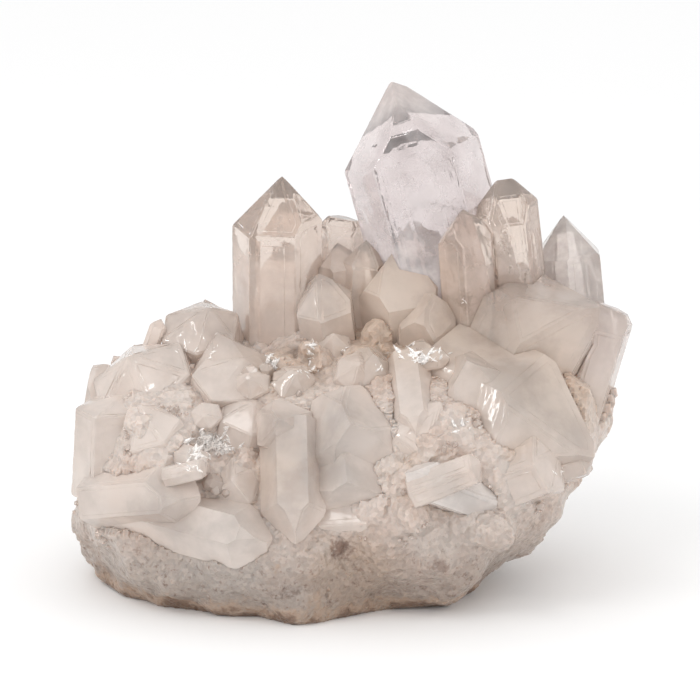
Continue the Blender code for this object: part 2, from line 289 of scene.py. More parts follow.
def grown_faces(tree, shader, strength):
    """Low ripples, as a bump: a growth face is never quite flat."""
    place = tree.nodes.new("ShaderNodeTexCoord").outputs["Object"]
    ripple = add(tree, "ShaderNodeTexNoise", Vector=place, Scale=per_mm(RIPPLE_MM), Detail=3.0,
                 Roughness=0.5).outputs["Fac"]
    bump = add(tree, "ShaderNodeBump", Height=ripple, Strength=strength, Distance=0.1 * MM)
    tree.links.new(bump.outputs["Normal"], shader.inputs["Normal"])
    return place


def clearness(tree, place, at_root, at_tip, veils):
    """How clear the crystal is: milky at its root, clearer to its tip, with veils by noise."""
    from_root = add(tree, "ShaderNodeAttribute", {"attribute_name": "from_root"}).outputs["Fac"]
    rise = add(tree, "ShaderNodeMapRange", Value=from_root, To_Min=at_root,
               To_Max=at_tip).outputs["Result"]
    veil = add(tree, "ShaderNodeTexNoise", Vector=place, Scale=per_mm(VEIL_MM), Detail=5.0,
               Roughness=0.6).outputs["Fac"]
    thin = add(tree, "ShaderNodeMapRange", {"interpolation_type": 'SMOOTHSTEP'}, Value=veil,
               From_Min=0.35, From_Max=0.65, To_Min=-veils, To_Max=veils).outputs["Result"]
    return add(tree, "ShaderNodeMath", {"operation": 'ADD', "use_clamp": True}, i0=rise,
               i1=thin).outputs[0]


def pale_tint(tree, place):
    pale = add(tree, "ShaderNodeGamma", Color=stone_tint(tree, place), Gamma=PALE_GAMMA)
    return add(tree, "ShaderNodeMix", {"data_type": 'RGBA', "blend_type": 'MULTIPLY'}, i0=1.0,
               i6=pale.outputs["Color"], i7=ROSE_CAST).outputs[2]


def milky_skin():
    material, tree, shader = new_material("milky_quartz_grown_faces")
    place = grown_faces(tree, shader, 0.15)
    tree.links.new(pale_tint(tree, place), shader.inputs["Base Color"])
    tree.links.new(clearness(tree, place, 0.33, 0.76, 0.05), shader.inputs["Transmission Weight"])
    shader.inputs["IOR"].default_value = QUARTZ_IOR
    shader.inputs["Roughness"].default_value = 0.06
    return material


MILKY_SKIN = milky_skin()
print("made", MILKY_SKIN.name)

# %% [markdown]
# ## Clear quartz
#
# Three crystals are clear rock crystal: pure quartz that grew slowly. Transmission with
# quartz's own index of refraction gives the bright edges, and a faint absorption tints the
# thick parts. Their roots are milky, and thin veils of bubbles hang in them.

# %% Clear quartz
MAIN_TIP = max((v.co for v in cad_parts["main_point"].data.vertices), key=lambda c: c.z)


def clear_quartz(name, at_root, at_tip, body):
    material, tree, shader = new_material(name)
    place = grown_faces(tree, shader, 0.15)
    clear = clearness(tree, place, at_root, at_tip, 0.1)
    away = add(tree, "ShaderNodeVectorMath", {"operation": 'DISTANCE'}, i0=place,
               i1=tuple(MAIN_TIP)).outputs["Value"]
    misty = add(tree, "ShaderNodeMapRange", {"interpolation_type": 'SMOOTHSTEP'}, Value=away,
                From_Min=4.0 * MM, From_Max=16.0 * MM, To_Min=0.36, To_Max=0.0).outputs["Result"]
    clear = add(tree, "ShaderNodeMath", {"operation": 'SUBTRACT', "use_clamp": True}, i0=clear,
                i1=misty).outputs[0]
    tree.links.new(clear, shader.inputs["Transmission Weight"])
    tint = add(tree, "ShaderNodeMix", {"data_type": 'RGBA'}, i0=misty, i6=linear(body),
               i7=linear("#E6CDBF")).outputs[2]
    tree.links.new(tint, shader.inputs["Base Color"])
    shader.inputs["IOR"].default_value = QUARTZ_IOR
    shader.inputs["Roughness"].default_value = 0.04
    haze = add(tree, "ShaderNodeVolumeAbsorption", Color=linear("#DCD1D1"), Density=44.0)
    tree.links.new(haze.outputs["Volume"], tree.nodes["Material Output"].inputs["Volume"])
    return material


CLEAR = clear_quartz("clear_rock_crystal", 0.4, 0.78, "#FBF5F4")
MISTY = clear_quartz("misty_rock_crystal", 0.3, 0.58, "#F8EFE9")
print("made", CLEAR.name, "and", MISTY.name)

# %% [markdown]
# ## Massive quartz
#
# The lump under the crystals is massive vein quartz: small interlocked grains, broken rather
# than grown, so its surface is sugary. It is milky like the crystals, but rough, and iron from
# the vein has stained its hollows and its foot brown. The foot is also painted darker towards the
# bottom: painted shade, with some dust.

# %% Massive quartz
GRAIN_MM = 0.95
# dust, and painted shade that darkens the foot towards the bottom
FOOT_DUST_AND_PAINTED_SHADE = linear("#BAB3AD")      # dust and shade of the broken foot
BODY_TONE = linear("#EFEBE8")
FOOT_TOP_MM = 30.0
# top of the band at the bottom edge, which is iron stain and also painted shade
FOOT_STAIN_AND_SHADE_TOP_MM = 7.0


def massive_quartz():
    material, tree, shader = new_material("massive_vein_quartz")
    place = tree.nodes.new("ShaderNodeTexCoord").outputs["Object"]
    height = add(tree, "ShaderNodeSeparateXYZ", Vector=place).outputs["Z"]
    rise = add(tree, "ShaderNodeMapRange", {"interpolation_type": 'SMOOTHSTEP'}, Value=height,
               From_Min=0.0, From_Max=FOOT_TOP_MM * MM).outputs["Result"]
    # painted shade and dust: the tint darkens from the body down to the foot
    tone = add(tree, "ShaderNodeMix", {"data_type": 'RGBA'}, i0=rise, i6=FOOT_DUST_AND_PAINTED_SHADE,
               i7=BODY_TONE).outputs[2]
    calm = add(tree, "ShaderNodeHueSaturation", Color=stone_tint(tree, place), Saturation=0.68)
    tint = add(tree, "ShaderNodeMix", {"data_type": 'RGBA', "blend_type": 'MULTIPLY'}, i0=1.0,
               i6=calm.outputs["Color"], i7=tone).outputs[2]
    grains = add(tree, "ShaderNodeTexVoronoi", Vector=place, Scale=per_mm(GRAIN_MM))
    shade = add(tree, "ShaderNodeSeparateColor", Color=grains.outputs["Color"]).outputs["Red"]
    speck = add(tree, "ShaderNodeMapRange", Value=shade, To_Min=0.84, To_Max=1.06)
    tint = add(tree, "ShaderNodeMix", {"data_type": 'RGBA', "blend_type": 'MULTIPLY'}, i0=1.0,
               i6=tint, i7=speck.outputs["Result"]).outputs[2]
    darkest = add(tree, "ShaderNodeMapRange", Value=rise, To_Min=0.3, To_Max=0.96)
    dirt = add(tree, "ShaderNodeTexNoise", Vector=place, Scale=per_mm(1.5), Detail=6.0,
               Roughness=0.75).outputs["Fac"]
    grime = add(tree, "ShaderNodeMapRange", Value=dirt, From_Min=0.36, From_Max=0.45,
                To_Min=darkest.outputs["Result"]).outputs["Result"]
    dusty = add(tree, "ShaderNodeMix", {"data_type": 'RGBA'}, i0=grime, i6=OCHRE,
                i7=linear("#FFFFFF")).outputs[2]
    tint = add(tree, "ShaderNodeMix", {"data_type": 'RGBA', "blend_type": 'MULTIPLY'}, i0=1.0,
               i6=tint, i7=dusty).outputs[2]
    patch = add(tree, "ShaderNodeTexNoise", Vector=place, Scale=per_mm(4.5), Detail=6.0,
                Roughness=0.65).outputs["Fac"]
    # the band at the bottom edge is iron stain and also painted shade, where the foot meets the
    # floor
    low = add(tree, "ShaderNodeMapRange", {"interpolation_type": 'SMOOTHSTEP'}, Value=height,
              From_Min=0.0, From_Max=FOOT_STAIN_AND_SHADE_TOP_MM * MM, To_Min=0.36, To_Max=0.0).outputs["Result"]
    soiled = add(tree, "ShaderNodeMath", {"operation": 'ADD'}, i0=low, i1=patch).outputs[0]
    stain = add(tree, "ShaderNodeMapRange", {"interpolation_type": 'SMOOTHSTEP'}, Value=soiled,
                From_Min=0.6, From_Max=0.78, To_Max=0.75).outputs["Result"]
    deep = add(tree, "ShaderNodeMapRange", {"interpolation_type": 'SMOOTHSTEP'}, Value=soiled,
               From_Min=0.74, From_Max=0.92, To_Max=0.85).outputs["Result"]
    tint = add(tree, "ShaderNodeMix", {"data_type": 'RGBA'}, i0=stain, i6=tint,
               i7=TAN_STAIN).outputs[2]
    tint = add(tree, "ShaderNodeMix", {"data_type": 'RGBA'}, i0=deep, i6=tint,
               i7=RUST).outputs[2]
    bump = add(tree, "ShaderNodeBump", Height=grains.outputs["Distance"], Strength=0.6,
               Distance=0.35 * MM)
    tree.links.new(tint, shader.inputs["Base Color"])
    tree.links.new(bump.outputs["Normal"], shader.inputs["Normal"])
    shader.inputs["IOR"].default_value = QUARTZ_IOR
    shader.inputs["Roughness"].default_value = 0.3
    shader.inputs["Subsurface Weight"].default_value = 1.0
    shader.inputs["Subsurface Radius"].default_value = (1.0, 0.85, 0.75)
    shader.inputs["Subsurface Scale"].default_value = 0.9 * MM
    return material


MASSIVE = massive_quartz()
print("made", MASSIVE.name)

# %% [markdown]
# ## Quartz of the small points
#
# The crust between the large crystals is of small points, clearer than the large ones because
# they are thin. The same half-clear finish is used, sharper and glossier, so that some of their
# faces flash.

# %% Quartz of the small points


def small_point_quartz():
    material, tree, shader = new_material("small_quartz_points")
    place = tree.nodes.new("ShaderNodeTexCoord").outputs["Object"]
    tree.links.new(pale_tint(tree, place), shader.inputs["Base Color"])
    shader.inputs["Transmission Weight"].default_value = 0.55
    shader.inputs["IOR"].default_value = QUARTZ_IOR
    shader.inputs["Roughness"].default_value = 0.08
    return material


SMALL_QUARTZ = small_point_quartz()
print("made", SMALL_QUARTZ.name)

# %% [markdown]
# ## Crystals
#
# A quartz crystal is a six-sided prism under a six-sided point. The solids already have those
# flat faces, but as loose triangles, so a copy is merged and its flat faces are made whole
# again. Its edges then get a narrow bevel that catches the light, each large face gets a low
# growth plate, and the plates a shallow relief of lines and mounds.

# %% Copy a solid as a mesh with whole flat faces
MERGE = 0.002 * MM
FLAT_DEG = 0.6


def whole_faces(node):
    """A copy of a solid with its doubles merged and its flat faces joined up."""
    bm = bmesh.new()
    bm.from_mesh(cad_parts[node].data)
    bmesh.ops.remove_doubles(bm, verts=bm.verts[:], dist=MERGE)
    bmesh.ops.dissolve_degenerate(bm, edges=bm.edges[:], dist=MERGE)
    bmesh.ops.dissolve_limit(bm, angle_limit=math.radians(FLAT_DEG), verts=bm.verts[:],
                             edges=bm.edges[:])
    return bm


ROOT_REACH_MM = 24.0


def mark_from_root(bm):
    """Keep on each point how far it is from the lump: 0 at the root, 1 at a far tip."""
    layer = bm.verts.layers.float.new("from_root")
    for vert in bm.verts:
        away = lump_tree.find_nearest(vert.co)[3] / MM
        vert[layer] = min(1.0, away / ROOT_REACH_MM)


def piece_from(bm, name, material, slot, *nodes):
    """Make a bmesh a piece of the object that stands for some of the solids."""
    mesh = bpy.data.meshes.new(name)
    bm.to_mesh(mesh)
    bm.free()
    piece = bpy.data.objects.new(name, mesh)
    bpy.context.scene.collection.objects.link(piece)
    mesh.materials.append(material)
    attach(piece, "root")
    if nodes:
        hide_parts(*nodes)
    return piece


# %% Bevel the edges, raise the growth plates and add relief
EDGE_MM = 0.26
PLATE_MM = 0.09
PLATE_MIN_MM = 1.6
RELIEF_STEP_MM = 1.1
RELIEF_MM = 0.1
SLIVER = 0.0005 * MM    # faces thinner than this are dissolved
SHARP_DEG = 12.0
MAIN_WINDOW = ((1.4, 0.12), (2.2, -0.2))     # inset and height of each step, in mm


def bevel_edges(bm, width):
    sharp = [e for e in bm.edges if len(e.link_faces) == 2
             and e.calc_face_angle(0.0) > math.radians(SHARP_DEG) and e.is_convex]
    bmesh.ops.bevel(bm, geom=sharp, offset=width, offset_type='OFFSET', segments=1,
                    profile=0.5, affect='EDGES', clamp_overlap=True, material=-1)


def growth_plates(bm, chance):
    """Raise a low plate on the large faces, a little inside their edges."""
    for face in list(bm.faces):
        across = 2.0 * face.calc_area() / max(face.calc_perimeter(), 1e-9)
        shortest = min(e.calc_length() for e in face.edges)
        if across < PLATE_MIN_MM * MM or shortest < 0.3 * MM or chance.random() < 0.35:
            continue
        inset = across * chance.uniform(0.12, 0.3)
        bmesh.ops.inset_individual(bm, faces=[face], thickness=inset, depth=0.0,
                                   use_even_offset=True)
        bmesh.ops.inset_individual(bm, faces=[face], thickness=PLATE_MM * MM * 1.4,
                                   depth=PLATE_MM * MM, use_even_offset=True)


def window_steps(bm, steps):
    """Step the face that looks to the front inwards, as a crystal does that grew in pulses."""
    face = max(bm.faces, key=lambda f: -f.normal.y * f.calc_area())
    for inset, drop in steps:
        bmesh.ops.inset_individual(bm, faces=[face], thickness=inset * MM, depth=0.0,
                                   use_even_offset=True)
        bmesh.ops.inset_individual(bm, faces=[face], thickness=0.8 * MM, depth=drop * MM,
                                   use_even_offset=True)


def refine(bm, step):
    """Split every edge that is longer than a step, until none is."""
    bmesh.ops.triangulate(bm, faces=bm.faces[:])
    for _ in range(8):
        long_edges = [e for e in bm.edges if e.calc_length() > step]
        if not long_edges:
            break
        bmesh.ops.subdivide_edges(bm, edges=long_edges, cuts=1, use_grid_fill=False)
        bmesh.ops.triangulate(bm, faces=[f for f in bm.faces if len(f.verts) > 3])


def steady_order(bm):
    """Put the faces in one order, by their points: an inset leaves them in no fixed one."""
    bm.verts.index_update()
    ordered = sorted(bm.faces, key=lambda face: sorted(v.index for v in face.verts))
    for rank, face in enumerate(ordered):
        face.index = rank
    bm.faces.sort()


def relief(bm, depth):
    """Raise growth lines and low mounds inside each flat face, and leave its edges straight."""
    steady_order(bm)
    number = bm.faces.layers.int.new("flat_face")
    run = bm.faces.layers.float_vector.new("long_edge")
    for index, face in enumerate(bm.faces):
        edge = max(face.edges, key=lambda e: e.calc_length())
        face[number] = index
        face[run] = (edge.verts[1].co - edge.verts[0].co).normalized()
    refine(bm, RELIEF_STEP_MM * MM)
    bm.normal_update()
    moves = []
    for vert in bm.verts:
        faces = vert.link_faces
        if not faces or any(f[number] != faces[0][number] for f in faces):
            continue
        along = vert.co.dot(faces[0][run]) / MM
        place = vert.co / MM
        lines = noise.noise(Vector((along * 0.9, place.length * 0.06, faces[0][number] * 3.1)))
        mound = noise.noise(place / 4.0)
        moves.append((vert, faces[0].normal * (lines * 0.5 + mound) * depth))
    for vert, move in moves:
        vert.co += move
    bmesh.ops.dissolve_degenerate(bm, edges=bm.edges[:], dist=SLIVER)
    bmesh.ops.triangulate(bm, faces=[f for f in bm.faces if len(f.verts) > 3])


def crystal_piece(node, material, slot):
    bm = whole_faces(node)
    flats = len(bm.faces)
    bevel_edges(bm, EDGE_MM * MM)
    if node == "main_point":
        window_steps(bm, MAIN_WINDOW)
    else:
        growth_plates(bm, random.Random(node))
    relief(bm, RELIEF_MM * MM)
    mark_from_root(bm)
    for face in bm.faces:
        face.smooth = True
    for edge in bm.edges:
        edge.smooth = edge.calc_face_angle(0.0) < math.radians(SHARP_DEG)
    name = node + "_grown"
    count = len(bm.faces)
    piece = piece_from(bm, name, material, slot, node)
    print(name, "flat faces", flats, "triangles", count)
    return piece


# %% Make every crystal
CLEAR_NODES = {"main_point": CLEAR, "far_right_point": MISTY, "low_right_point": MISTY}
crystals = []
for node in sorted(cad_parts):
    if node == "matrix":
        continue
    if node in CLEAR_NODES:
        crystals.append(crystal_piece(node, CLEAR_NODES[node], "clear_quartz"))
    else:
        crystals.append(crystal_piece(node, MILKY_SKIN, "milky_quartz"))

# %% [markdown]
# ## The lump of massive quartz
#
# The solid lump has large facets. A voxel remesh gives it an even, fine skin, and noise moves
# that skin in and out: broken lumps, then grains of a millimetre or two, each a small tilted
# facet, as sugar has. The skin swells a little round the crystals' roots, so that they grow out
# of it with no gap.

# %% A voxel skin of a solid


def voxel_skin(node, size):
    """A bmesh of a solid's surface in even faces of one size, in mm."""
    bm = whole_faces(node)
    mesh = bpy.data.meshes.new("skin_source")
    bm.to_mesh(mesh)
    bm.free()
    source = bpy.data.objects.new("skin_source", mesh)
    bpy.context.scene.collection.objects.link(source)
    remesh = source.modifiers.new("Even skin", 'REMESH')
    remesh.mode = 'VOXEL'
    remesh.voxel_size = size * MM
    bpy.context.view_layer.update()
    graph = bpy.context.evaluated_depsgraph_get()
    skin = bmesh.new()
    skin.from_mesh(source.evaluated_get(graph).to_mesh())
    bpy.data.objects.remove(source, do_unlink=True)
    return skin


# %% Fine skin of the lump
SKIN_MM = 0.76
SWELL_MM = 0.4
ROOT_COLLAR_MM = 0.9     # how far the skin rises where it meets a crystal
COLLAR_REACH_MM = 2.4


def facets(place, size, tilt):
    """Height of a surface broken into tilted facets of a size, at a place in mm."""
    nearest = noise.voronoi(place / size)[1][0]
    lean = noise.cell_vector(nearest * 7.3) - Vector((0.5, 0.5, 0.5))
    return (place / size - nearest).dot(lean) * tilt + (lean.x + lean.y) * 0.35 * tilt


# across and down in the view in pixels, radius and depth in mm
PITS = {
    "left_pit": (207, 446, 6.5, 3.2),
    "left_bank_hollow": (165, 420, 4.0, 2.0),
    "hollow_by_tower": (272, 366, 4.0, 2.6),
    "slot_by_tower": (309, 360, 3.4, 2.6),
    "right_hollow": (405, 452, 5.0, 2.2),
}
pit_places = [(seen_at(across, down, lump_tree)[0], radius, depth)
              for across, down, radius, depth in PITS.values()]


def pit_depth(place):
    """How far the pits draw the skin in, in mm, at a place in metres."""
    total = 0.0
    for middle, radius, depth in pit_places:
        share = max(0.0, 1.0 - (place - middle).length / (radius * MM))
        total += depth * share * share * (3.0 - 2.0 * share)
    return total


def grain_height(place):
    """How far the skin stands out at a place in mm: broken lumps, then sugary grains."""
    lump = noise.noise(place / 6.0) * 0.3
    high = min(1.0, max(0.0, (place.z - 20.0) / 12.0))
    return (SWELL_MM + lump + facets(place, 5.0, 0.5 + 0.7 * high)
            + facets(place, 1.7, 0.42 - 0.26 * high))


def collar(place):
    """How far the skin rises towards a crystal close by, in mm, at a place in metres."""
    away = large_tree.find_nearest(place)[3] / MM
    share = max(0.0, 1.0 - away / COLLAR_REACH_MM)
    return ROOT_COLLAR_MM * share * share


def lump_piece():
    skin = voxel_skin("matrix", SKIN_MM)
    skin.normal_update()
    for vert in skin.verts:
        height = grain_height(vert.co / MM) + collar(vert.co) - pit_depth(vert.co)
        move = vert.normal * height * MM
        flat = min(1.0, vert.co.z / (1.5 * MM))
        vert.co += move * flat
        for axis in range(3):
            vert.co[axis] = min(max(vert.co[axis], cad_low[axis]), cad_high[axis])
    for face in skin.faces:
        face.smooth = False
    count = len(skin.faces)
    piece = piece_from(skin, "sugary_lump", MASSIVE, "massive_quartz", "matrix")
    print("sugary lump: faces", count)
    return piece


lump = lump_piece()

# %% [markdown]
# ## Blocks on the banks
#
# Between the large crystals stand middling ones, grown into each other so that only a corner or
# a blunt end of each shows. A crystal here is a six-sided prism whose top face is poked up to a
# low tip. Each block is put behind a point of the view and stands a little proud of the stone.

# %% One point


def one_point(tip, lean):
    """A mesh of a six-sided point, one unit long and one wide, with its tip to one side."""
    bm = bmesh.new()
    bmesh.ops.create_cone(bm, cap_ends=True, segments=6, radius1=0.5, radius2=0.46,
                          depth=1.0 - tip)
    bmesh.ops.translate(bm, verts=bm.verts[:], vec=(0.0, 0.0, (1.0 - tip) / 2))
    bm.normal_update()
    top = max(bm.faces, key=lambda f: f.normal.z)
    made = bmesh.ops.poke(bm, faces=[top])
    made["verts"][0].co += Vector((lean, lean * 0.4, tip))
    mesh = bpy.data.meshes.new("one_point")
    bm.to_mesh(mesh)
    bm.free()
    return mesh


POINT_KINDS = [one_point(tip, lean) for tip, lean in ((0.3, 0.0), (0.22, 0.14), (0.34, 0.08),
                                                      (0.18, -0.12))]
BLUNT_POINT = one_point(0.1, 0.16)
print("faces of one point:", len(POINT_KINDS[0].polygons))

# %% Blocks that show between the large crystals
# across and down in the view in pixels; length, width and how far it stands proud in mm;
# lean to the right, lean to the front and spin in degrees
BLOCKS = {
    "left_wall": (112, 446, 22.0, 19.0, 3.4, 2, 4, 12),
    "bank_brow": (203, 348, 24.0, 20.0, 3.6, -8, 34, 5),
    "bank_left": (146, 392, 24.0, 26.0, 3.2, -22, 32, 40),
    "bank_right": (226, 398, 20.0, 20.0, 2.8, 12, 36, 22),
    "pit_left_rim": (152, 440, 20.0, 18.0, 2.6, -26, 22, 10),
    "pit_right_rim": (248, 440, 22.0, 20.0, 3.0, 10, 18, 35),
    "pit_sill": (186, 472, 9.5, 5.5, 3.4, 72, 14, 22),
    "pit_back": (206, 420, 10.0, 8.0, 2.4, 6, 56, 15),
    "hollow_sill": (254, 388, 12.0, 10.0, 3.2, -20, 50, 8),
    "hollow_right": (292, 388, 14.0, 11.0, 3.4, 10, 46, 28),
    "middle_back": (334, 352, 12.0, 10.0, 2.6, -12, 36, 18),
    "middle_front": (352, 376, 13.0, 11.0, 3.0, 20, 48, 44),
    "right_ledge": (424, 360, 12.0, 6.5, 2.4, 80, 10, 15),
    "right_hollow_sill": (420, 436, 20.0, 19.0, 2.6, 30, 30, 30),
    "right_foot": (520, 476, 19.0, 18.0, 2.8, 62, 20, 12),
    "right_foot_low": (468, 516, 14.0, 11.0, 2.4, 74, 16, 40),
    "foot_middle": (352, 518, 16.0, 13.0, 2.2, 82, 12, 25),
    "foot_left": (234, 492, 17.0, 16.0, 2.6, 50, 18, 9),
    "low_right_bar": (447, 479, 16.0, 9.0, 3.6, 66, 8, 12),
    "right_corner": (573, 466, 10.0, 8.0, 2.2, 70, 10, 5),
}


def towards(lean, front):
    """The direction that leans to the right and to the front by some degrees from upright."""
    lean, front = math.radians(lean), math.radians(front)
    return Vector((math.sin(lean) * math.cos(front), -math.sin(front),
                   math.cos(lean) * math.cos(front)))


def is_in_box(mesh):
    return all(cad_low[i] < v.co[i] < cad_high[i] for v in mesh.vertices for i in range(3))


def blocks_piece():
    blocks = bmesh.new()
    for name, (across, down, length, width, proud, lean, front, spin) in BLOCKS.items():
        place, _ = seen_at(across, down)
        middle = place - back * (width / 2 - proud) * MM
        axis = towards(lean, front)
        mesh = (BLUNT_POINT if spin % 10 == 2 else POINT_KINDS[spin % 4]).copy()
        mesh.transform(Matrix.Translation(middle)
                       @ axis.to_track_quat('Z', 'Y').to_matrix().to_4x4()
                       @ Matrix.Rotation(math.radians(spin), 4, 'Z')
                       @ Matrix.Diagonal((width * MM, 0.85 * width * MM, length * MM, 1.0))
                       @ Matrix.Translation((0.0, 0.0, -0.5)))
        for vert in mesh.vertices:
            for i in range(3):
                vert.co[i] = min(max(vert.co[i], cad_low[i] + 0.2 * MM), cad_high[i] - 0.2 * MM)
        blocks.from_mesh(mesh)
        bpy.data.meshes.remove(mesh)
    blocks.normal_update()
    bevel_edges(blocks, EDGE_MM * MM)
    growth_plates(blocks, random.Random(3))
    relief(blocks, 2.0 * RELIEF_MM * MM)
    mark_from_root(blocks)
    for face in blocks.faces:
        face.smooth = True
    for edge in blocks.edges:
        edge.smooth = edge.calc_face_angle(0.0) < math.radians(SHARP_DEG)
    print("blocks:", len(BLOCKS), "triangles", len(blocks.faces))
    return piece_from(blocks, "bank_blocks", MILKY_SKIN, "milky_quartz")


blocks = blocks_piece()

# %% [markdown]
# ## The crust of small points
#
# In the hollows and on the back of the lump grow small points, a few millimetres long, that
# point away from it. The same point is copied by a seeded scatter on the lump's own faces, and
# left out where a large crystal stands. It has only thirteen faces, because there are hundreds.

# %% Where a small point may stand
GROWTH_HEART = Vector((0.0, 4.0, 14.0)) * MM


def is_free(place, room):
    """Whether a place is outside every large crystal, with some room in mm to spare."""
    near, normal, _, away = large_tree.find_nearest(place)
    outside = (place - near).dot(normal) > 0.0
    return outside and away > room * MM


# %% Scatter small points
def scatter(name, count, length, width, tilt_deg, keep, seed):
    """Join copies of the small point, standing on the lump, into one piece."""
    chance = random.Random(seed)
    faces = lump.data.polygons
    crust = bmesh.new()
    stood = 0
    for _ in range(count * 30):
        if stood == count:
            break
        face = faces[chance.randrange(len(faces))]
        place = face.center.copy()
        size = chance.uniform(0.0, 1.0) ** 2
        tall = length[0] + (length[1] - length[0]) * size
        wide = (width[0] + (width[1] - width[0]) * size) * chance.uniform(0.8, 1.2)
        outward = (place - GROWTH_HEART).normalized()
        ground = face.normal * 0.6 + outward * 0.6 + Vector((0.0, 0.0, 0.25))
        if not keep(place / MM, chance.random()) or not is_free(place, wide * 0.3):
            continue
        if ground.dot(face.normal) < 0.25:
            continue
        turn = ground.to_track_quat('Z', 'Y').to_matrix().to_4x4()
        tilt = math.radians(chance.gauss(0.0, tilt_deg))
        lean = Matrix.Rotation(tilt, 4, Vector((chance.gauss(0, 1), chance.gauss(0, 1), 0.01)))
        spin = Matrix.Rotation(chance.uniform(0.0, math.pi), 4, 'Z')
        shape = Matrix.Diagonal((wide * MM, wide * MM * chance.uniform(0.7, 1.0), tall * MM, 1.0))
        sunk = Matrix.Translation((0.0, 0.0, -0.25 * tall * MM))
        mesh = chance.choice(POINT_KINDS).copy()
        mesh.transform(Matrix.Translation(place) @ turn @ lean @ sunk @ spin @ shape)
        if is_in_box(mesh):
            crust.from_mesh(mesh)
            stood += 1
        bpy.data.meshes.remove(mesh)
    mark_from_root(crust)
    count_faces = len(crust.faces)
    piece = piece_from(crust, name, SMALL_QUARTZ, "milky_quartz")
    print(name, "points:", stood, "faces:", count_faces)
    return piece


def on_banks(place, luck):
    """The banks and hollows above the foot, in clumps."""
    clump = noise.noise(place / 9.0) - 0.05
    shy = place.y > 4.0 or clump > 0.44
    return place.z > 20.0 + 8.0 * luck and clump > 0.0 and place.x < 44.0 and shy


def in_hollows(place, luck):
    clump = noise.noise(place / 5.0 + Vector((40.0, 0.0, 0.0)))
    shy = place.y > 4.0 or clump > 0.4
    return place.z > 12.0 + 12.0 * luck and clump > 0.12 and place.x < 48.0 and shy


scatter("bank_points", 120, (2.2, 5.0), (2.2, 4.6), 20.0, on_banks, 5)
scatter("crust_points", 620, (0.9, 2.0), (0.8, 1.7), 30.0, in_hollows, 9)

# %% [markdown]
# ## Fresh chips
#
# Where the stone was knocked or a crystal broke off, its fresh fractures flash. Each such
# place is a nest of chips: thin four-sided plates of a millimetre or less, laid at all angles on
# the stone that shows there. They are glossy, so that from any side some of them catch the light,
# and nearly white: a painted glint, bright under any light.

# %% Fresh fractures with painted glints


def fracture_with_painted_glint():
    material, tree, shader = new_material("quartz_fracture_painted_glint")
    place = tree.nodes.new("ShaderNodeTexCoord").outputs["Object"]
    flaw = add(tree, "ShaderNodeTexNoise", Vector=place, Scale=per_mm(0.5), Detail=2.0)
    clear = add(tree, "ShaderNodeMapRange", Value=flaw.outputs["Fac"], From_Min=0.4,
                From_Max=0.6, To_Min=0.0, To_Max=0.35).outputs["Result"]
    tree.links.new(clear, shader.inputs["Transmission Weight"])
    # nearly white base: a painted glint that shows under any light
    shader.inputs["Base Color"].default_value = linear("#FFFAF6")
    shader.inputs["IOR"].default_value = QUARTZ_IOR
    shader.inputs["Roughness"].default_value = 0.04
    return material


FRESH_PAINTED_GLINT = fracture_with_painted_glint()
# across, down, half width and half height in pixels of the view, chips, longest chip in mm
NESTS = {
    "left_pit": (211, 444, 24, 13, 90, 4.6),
    "pit_sill_edge": (190, 468, 14, 6, 8, 3.0),
    "bank_edge": (186, 352, 14, 6, 5, 2.4),
    "bank_top": (215, 350, 10, 8, 6, 2.6),
    "hollow_by_tower": (272, 366, 8, 10, 24, 3.4),
    "slot_upper": (311, 350, 3, 14, 16, 3.0),
    "slot_lower": (306, 372, 11, 5, 9, 2.6),
    "step_by_slot": (346, 348, 6, 6, 5, 2.8),
    "right_ledge": (422, 356, 24, 8, 34, 4.6),
    "ledge_tail": (380, 368, 8, 4, 4, 2.8),
    "knee": (466, 426, 12, 8, 8, 3.0),
    "rusty_nick": (466, 301, 6, 5, 5, 1.6),
    "right_star": (560, 471, 7, 5, 6, 2.0),
}


def tree_of_pieces(pieces):
    bm = bmesh.new()
    for piece in pieces:
        bm.from_mesh(piece.data)
    tree = BVHTree.FromBMesh(bm)
    bm.free()
    return tree


def chips_piece(seed):
    chance = random.Random(seed)
    dressed = tree_of_pieces([*crystals, blocks, lump])
    plate = bmesh.new()
    bmesh.ops.create_cone(plate, cap_ends=True, segments=4, radius1=0.5, radius2=0.3, depth=0.3)
    master = bpy.data.meshes.new("chip")
    plate.to_mesh(master)
    plate.free()
    chips = bmesh.new()
    laid = 0
    for across, down, half_width, half_height, count, longest in NESTS.values():
        for _ in range(count):
            place, normal = seen_at(across + chance.gauss(0.0, 0.5) * half_width,
                                    down + chance.gauss(0.0, 0.5) * half_height, dressed)
            if place is None or normal is None:
                continue
            size = chance.uniform(0.3, 1.0) * longest
            turn = Matrix.Rotation(chance.gauss(0.0, 0.7), 4,
                                   Vector((chance.gauss(0, 1), chance.gauss(0, 1), 0.1)))
            mesh = master.copy()
            mesh.transform(Matrix.Translation(place)
                           @ normal.to_track_quat('Z', 'Y').to_matrix().to_4x4() @ turn
                           @ Matrix.Rotation(chance.uniform(0.0, 3.0), 4, 'Z')
                           @ Matrix.Diagonal((size * MM, size * chance.uniform(0.16, 0.4) * MM,
                                              size * 0.3 * MM, 1.0)))
            if is_in_box(mesh):
                chips.from_mesh(mesh)
                laid += 1
            bpy.data.meshes.remove(mesh)
    print("chips:", laid, "in", len(NESTS), "nests")
    return piece_from(chips, "fresh_chips_painted_glints", FRESH_PAINTED_GLINT, "clear_quartz")


chips_piece(21)

# %% [markdown]
# ## Veils inside the clear crystals, and painted glints in the towers
#
# When a growing crystal cracks and heals, a sheet of tiny bubbles stays inside it. From outside
# it is a pale curl of mist. Each veil is a few hundred flecks laid on a wavy disc, a little way
# behind the face that shows there. The right crystal also holds a few dark mineral specks. In the
# two towers, bands of the same white flecks are painted highlights: they stand where the towers
# show bright glints and an edge highlight.

